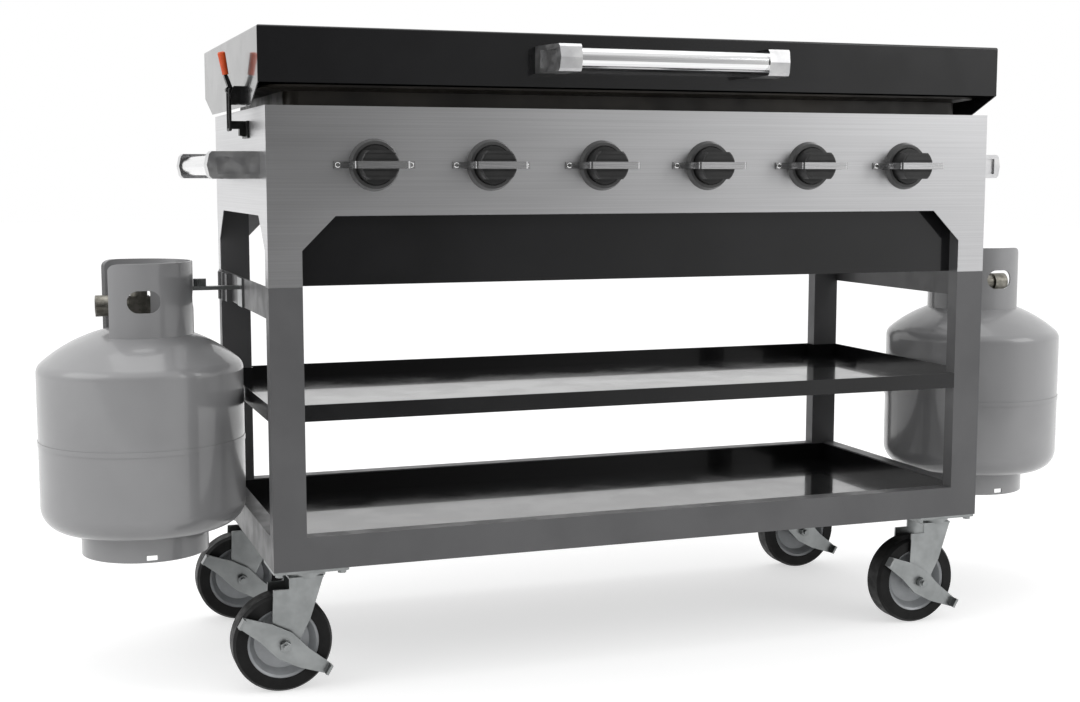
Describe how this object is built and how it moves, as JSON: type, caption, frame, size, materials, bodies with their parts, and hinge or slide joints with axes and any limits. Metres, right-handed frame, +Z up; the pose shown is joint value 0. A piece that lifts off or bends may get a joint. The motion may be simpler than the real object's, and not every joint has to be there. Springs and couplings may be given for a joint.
{
  "type": "flat top griddle",
  "caption": "Wheeled outdoor gas flat top griddle with a hinged lid, front knobs with guards, open shelves and gas cylinders hung at the sides.",
  "frame": {"origin": "on the floor, at the middle of the whole object's length and depth", "axes": "+Z up, the front with the knobs faces -Y, +X along the length to the viewer's right"},
  "size_m": [1.8518, 0.6266, 0.985],
  "materials": {
    "stainless_steel": "brushed",
    "frame_paint": "satin",
    "black_paint": "gloss",
    "griddle_steel": "seasoned",
    "handle_metal": "satin",
    "bezel_plastic": "satin",
    "knob_plastic": "satin",
    "guard_steel": "brushed",
    "zinc": "bright zinc",
    "latch_steel": "satin",
    "grip_rubber": "matte",
    "tyre_rubber": "matte",
    "tank_paint": "gloss",
    "valve_metal": "dull plated",
    "handwheel_plastic": "matte",
    "burner_steel": "satin"
  },
  "bodies": {
    "cart": {"apron": "black_paint", "burner_box": "black_paint", "burners": "burner_steel", "caster_mounts": "zinc", "corner_posts": "frame_paint", "crossbars": "frame_paint", "front_panel": "stainless_steel", "gas_manifold": "burner_steel", "gas_valves": "valve_metal", "grease_cup": "black_paint", "griddle_plate": "griddle_steel", "guard_screws": "zinc", "knob_bezels": "bezel_plastic", "knob_guards": "guard_steel", "latch_catches": "latch_steel", "lid_hinges": "zinc", "lower_rails": "frame_paint", "lower_tray": "black_paint", "middle_shelf": "black_paint", "rear_panel": "stainless_steel", "side_handles": "handle_metal", "side_panels": "stainless_steel", "tank_hangers": "zinc"},
    "lid": {"lid_shell": "black_paint", "lid_handle": "handle_metal", "latch_bases": "latch_steel"},
    "latch_left": {"latch_arm_left": "latch_steel", "latch_grip_left": "grip_rubber"},
    "latch_loop_left": {"latch_hook_left": "latch_steel"},
    "tank_left": {"tank_cylinder_left": "tank_paint", "tank_valve_left": "valve_metal"},
    "handwheel_left": {"tank_handwheel_left": "handwheel_plastic"},
    "latch_right": {"latch_arm_right": "latch_steel", "latch_grip_right": "grip_rubber"},
    "latch_loop_right": {"latch_hook_right": "latch_steel"},
    "tank_right": {"tank_cylinder_right": "tank_paint", "tank_valve_right": "valve_metal"},
    "handwheel_right": {"tank_handwheel_right": "handwheel_plastic"},
    "knob_1": {"knob_1": "knob_plastic"},
    "knob_2": {"knob_2": "knob_plastic"},
    "knob_3": {"knob_3": "knob_plastic"},
    "knob_4": {"knob_4": "knob_plastic"},
    "knob_5": {"knob_5": "knob_plastic"},
    "knob_6": {"knob_6": "knob_plastic"},
    "swivel_front_left": {"caster_fork_front_left": "zinc"},
    "wheel_front_left": {"caster_rim_front_left": "zinc", "caster_tyre_front_left": "tyre_rubber"},
    "brake_front_left": {"caster_brake_front_left": "zinc"},
    "swivel_front_right": {"caster_fork_front_right": "zinc"},
    "wheel_front_right": {"caster_rim_front_right": "zinc", "caster_tyre_front_right": "tyre_rubber"},
    "brake_front_right": {"caster_brake_front_right": "zinc"},
    "swivel_rear_left": {"caster_fork_rear_left": "zinc"},
    "wheel_rear_left": {"caster_rim_rear_left": "zinc", "caster_tyre_rear_left": "tyre_rubber"},
    "brake_rear_left": {"caster_brake_rear_left": "zinc"},
    "swivel_rear_right": {"caster_fork_rear_right": "zinc"},
    "wheel_rear_right": {"caster_rim_rear_right": "zinc", "caster_tyre_rear_right": "tyre_rubber"},
    "brake_rear_right": {"caster_brake_rear_right": "zinc"}
  },
  "joints": [
    {"name": "lid_hinge", "type": "hinge", "parent": "cart", "child": "lid", "pos_m": [0, 0.28625, 0.893], "axis": [-1, 0, 0], "range_deg": [0, 95]},
    {"name": "latch_left_turn", "type": "hinge", "parent": "lid", "child": "latch_left", "pos_m": [-0.628, -0.06275, 0.8935], "axis": [0, -1, 0], "range_deg": [0, 105]},
    {"name": "latch_loop_left_swing", "type": "hinge", "parent": "latch_left", "child": "latch_loop_left", "pos_m": [-0.6335, -0.06275, 0.9015], "axis": [0, -1, 0], "range_deg": [-110, 10]},
    {"name": "tank_left_lift", "type": "slide", "parent": "cart", "child": "tank_left", "axis": [-0.8, 0, 0.6], "range_m": [0, 0.25]},
    {"name": "handwheel_left_turn", "type": "hinge", "parent": "tank_left", "child": "handwheel_left", "pos_m": [-0.767, 0.02175, 0.6047], "axis": [0, 0, 1], "range_deg": [0, 540]},
    {"name": "latch_right_turn", "type": "hinge", "parent": "lid", "child": "latch_right", "pos_m": [0.628, -0.06275, 0.8935], "axis": [0, 1, 0], "range_deg": [0, 105]},
    {"name": "latch_loop_right_swing", "type": "hinge", "parent": "latch_right", "child": "latch_loop_right", "pos_m": [0.6335, -0.06275, 0.9015], "axis": [0, 1, 0], "range_deg": [-110, 10]},
    {"name": "tank_right_lift", "type": "slide", "parent": "cart", "child": "tank_right", "axis": [0.8, 0, 0.6], "range_m": [0, 0.25]},
    {"name": "handwheel_right_turn", "type": "hinge", "parent": "tank_right", "child": "handwheel_right", "pos_m": [0.767, 0.02175, 0.6047], "axis": [0, 0, 1], "range_deg": [0, 540]},
    {"name": "knob_1_turn", "type": "hinge", "parent": "cart", "child": "knob_1", "pos_m": [-0.449, -0.25075, 0.788], "axis": [0, -1, 0], "range_deg": [0, 250]},
    {"name": "knob_2_turn", "type": "hinge", "parent": "cart", "child": "knob_2", "pos_m": [-0.2694, -0.25075, 0.788], "axis": [0, -1, 0], "range_deg": [0, 250]},
    {"name": "knob_3_turn", "type": "hinge", "parent": "cart", "child": "knob_3", "pos_m": [-0.0898, -0.25075, 0.788], "axis": [0, -1, 0], "range_deg": [0, 250]},
    {"name": "knob_4_turn", "type": "hinge", "parent": "cart", "child": "knob_4", "pos_m": [0.0898, -0.25075, 0.788], "axis": [0, -1, 0], "range_deg": [0, 250]},
    {"name": "knob_5_turn", "type": "hinge", "parent": "cart", "child": "knob_5", "pos_m": [0.2694, -0.25075, 0.788], "axis": [0, -1, 0], "range_deg": [0, 250]},
    {"name": "knob_6_turn", "type": "hinge", "parent": "cart", "child": "knob_6", "pos_m": [0.449, -0.25075, 0.788], "axis": [0, -1, 0], "range_deg": [0, 250]},
    {"name": "caster_front_left_swivel", "type": "hinge", "parent": "cart", "child": "swivel_front_left", "pos_m": [-0.5505, -0.18325, 0.17], "axis": [0, 0, 1], "continuous": true},
    {"name": "caster_front_left_roll", "type": "hinge", "parent": "swivel_front_left", "child": "wheel_front_left", "pos_m": [-0.5905, -0.18325, 0.075], "axis": [0, 1, 0], "continuous": true},
    {"name": "caster_front_left_brake", "type": "hinge", "parent": "swivel_front_left", "child": "brake_front_left", "pos_m": [-0.5905, -0.18325, 0.075], "axis": [0, 1, 0], "range_deg": [-22, 0]},
    {"name": "caster_front_right_swivel", "type": "hinge", "parent": "cart", "child": "swivel_front_right", "pos_m": [0.5505, -0.18325, 0.17], "axis": [0, 0, 1], "continuous": true},
    {"name": "caster_front_right_roll", "type": "hinge", "parent": "swivel_front_right", "child": "wheel_front_right", "pos_m": [0.5105, -0.18325, 0.075], "axis": [0, 1, 0], "continuous": true},
    {"name": "caster_front_right_brake", "type": "hinge", "parent": "swivel_front_right", "child": "brake_front_right", "pos_m": [0.5105, -0.18325, 0.075], "axis": [0, 1, 0], "range_deg": [-22, 0]},
    {"name": "caster_rear_left_swivel", "type": "hinge", "parent": "cart", "child": "swivel_rear_left", "pos_m": [-0.5505, 0.22675, 0.17], "axis": [0, 0, 1], "continuous": true},
    {"name": "caster_rear_left_roll", "type": "hinge", "parent": "swivel_rear_left", "child": "wheel_rear_left", "pos_m": [-0.5905, 0.22675, 0.075], "axis": [0, 1, 0], "continuous": true},
    {"name": "caster_rear_left_brake", "type": "hinge", "parent": "swivel_rear_left", "child": "brake_rear_left", "pos_m": [-0.5905, 0.22675, 0.075], "axis": [0, 1, 0], "range_deg": [-22, 0]},
    {"name": "caster_rear_right_swivel", "type": "hinge", "parent": "cart", "child": "swivel_rear_right", "pos_m": [0.5505, 0.22675, 0.17], "axis": [0, 0, 1], "continuous": true},
    {"name": "caster_rear_right_roll", "type": "hinge", "parent": "swivel_rear_right", "child": "wheel_rear_right", "pos_m": [0.5105, 0.22675, 0.075], "axis": [0, 1, 0], "continuous": true},
    {"name": "caster_rear_right_brake", "type": "hinge", "parent": "swivel_rear_right", "child": "brake_rear_right", "pos_m": [0.5105, 0.22675, 0.075], "axis": [0, 1, 0], "range_deg": [-22, 0]}
  ],
  "couplings": [
    {"joint": "latch_loop_left_swing", "follows": "latch_left_turn", "ratio": -1},
    {"joint": "latch_loop_right_swing", "follows": "latch_right_turn", "ratio": -1}
  ]
}
